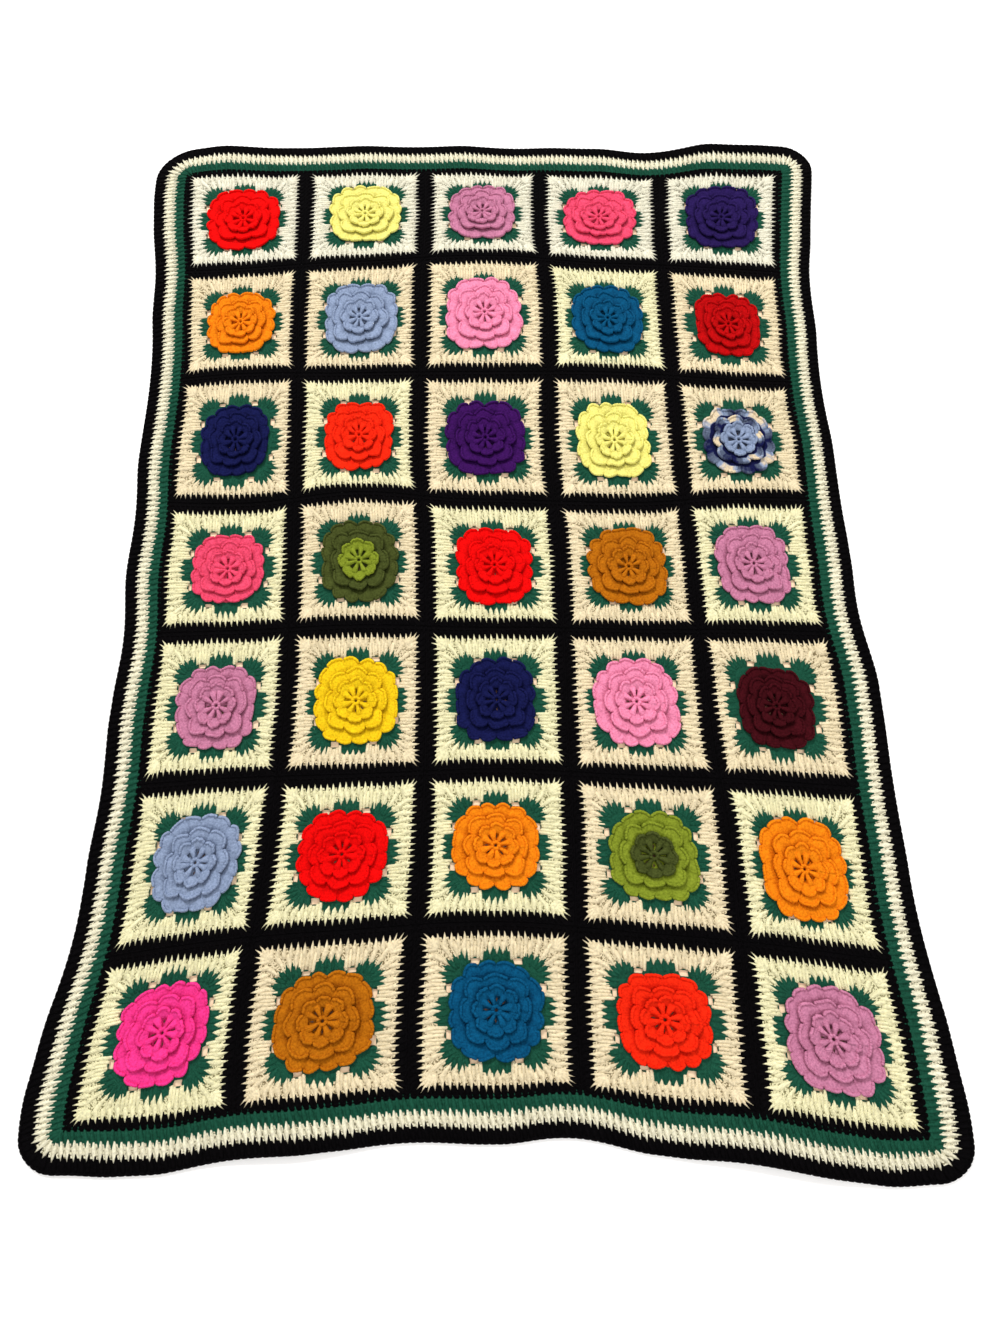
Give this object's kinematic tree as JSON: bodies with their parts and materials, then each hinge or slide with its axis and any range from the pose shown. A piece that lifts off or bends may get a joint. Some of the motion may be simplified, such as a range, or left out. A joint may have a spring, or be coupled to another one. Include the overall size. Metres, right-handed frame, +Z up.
{
  "type": "granny square blanket",
  "caption": "Crocheted granny square blanket laid flat: squares with a raised tiered rose on cream, joined by black rounds, in a green, cream and black border.",
  "frame": {"origin": "middle of the blanket's footprint on the surface it lies on", "axes": "+Y along the length towards the head end, +X across to the right, +Z up out of the rose side"},
  "size_m": [0.9878, 1.347, 0.0116],
  "materials": {
    "black_yarn": "near-black worsted acrylic yarn, matt, crocheted",
    "green_yarn": "dark pine green worsted acrylic yarn, matt, crocheted",
    "cream_yarn": "cream worsted acrylic yarn, matt, crocheted",
    "scarlet_yarn": "scarlet worsted acrylic yarn, matt, crocheted",
    "lemon_yarn": "lemon worsted acrylic yarn, matt, crocheted",
    "orchid_yarn": "orchid worsted acrylic yarn, matt, crocheted",
    "coral_yarn": "coral worsted acrylic yarn, matt, crocheted",
    "indigo_yarn": "indigo worsted acrylic yarn, matt, crocheted",
    "orange_yarn": "orange worsted acrylic yarn, matt, crocheted",
    "heather_yarn": "heather worsted acrylic yarn, matt, crocheted",
    "pink_yarn": "pink worsted acrylic yarn, matt, crocheted",
    "teal_yarn": "teal worsted acrylic yarn, matt, crocheted",
    "crimson_yarn": "crimson worsted acrylic yarn, matt, crocheted",
    "navy_yarn": "navy worsted acrylic yarn, matt, crocheted",
    "tangerine_yarn": "tangerine worsted acrylic yarn, matt, crocheted",
    "violet_yarn": "violet worsted acrylic yarn, matt, crocheted",
    "olive_yarn": "olive worsted acrylic yarn, matt, crocheted",
    "ochre_yarn": "ochre worsted acrylic yarn, matt, crocheted",
    "gold_yarn": "gold worsted acrylic yarn, matt, crocheted",
    "burgundy_yarn": "burgundy worsted acrylic yarn, matt, crocheted",
    "lime_yarn": "lime worsted acrylic yarn, matt, crocheted",
    "magenta_yarn": "magenta worsted acrylic yarn, matt, crocheted",
    "variegated_yarn": "navy, blue and cream variegated worsted acrylic yarn, matt, crocheted"
  },
  "bodies": {
    "root": {"square_r1_c1": "scarlet_yarn", "square_r1_c2": "lemon_yarn", "square_r1_c3": "orchid_yarn", "square_r1_c4": "coral_yarn", "square_r1_c5": "indigo_yarn", "square_r2_c1": "orange_yarn", "square_r2_c2": "heather_yarn", "square_r2_c3": "pink_yarn", "square_r2_c4": "teal_yarn", "square_r2_c5": "crimson_yarn", "square_r3_c1": "navy_yarn", "square_r3_c2": "tangerine_yarn", "square_r3_c3": "violet_yarn", "square_r3_c4": "lemon_yarn", "square_r3_c5": "variegated_yarn", "square_r4_c1": "coral_yarn", "square_r4_c2": "olive_yarn", "square_r4_c3": "scarlet_yarn", "square_r4_c4": "ochre_yarn", "square_r4_c5": "orchid_yarn", "square_r5_c1": "orchid_yarn", "square_r5_c2": "gold_yarn", "square_r5_c3": "navy_yarn", "square_r5_c4": "pink_yarn", "square_r5_c5": "burgundy_yarn", "square_r6_c1": "heather_yarn", "square_r6_c2": "scarlet_yarn", "square_r6_c3": "orange_yarn", "square_r6_c4": "lime_yarn", "square_r6_c5": "orange_yarn", "square_r7_c1": "magenta_yarn", "square_r7_c2": "ochre_yarn", "square_r7_c3": "teal_yarn", "square_r7_c4": "tangerine_yarn", "square_r7_c5": "orchid_yarn", "border_green": "green_yarn", "border_cream": "cream_yarn", "border_black": "black_yarn"}
  },
  "joints": []
}
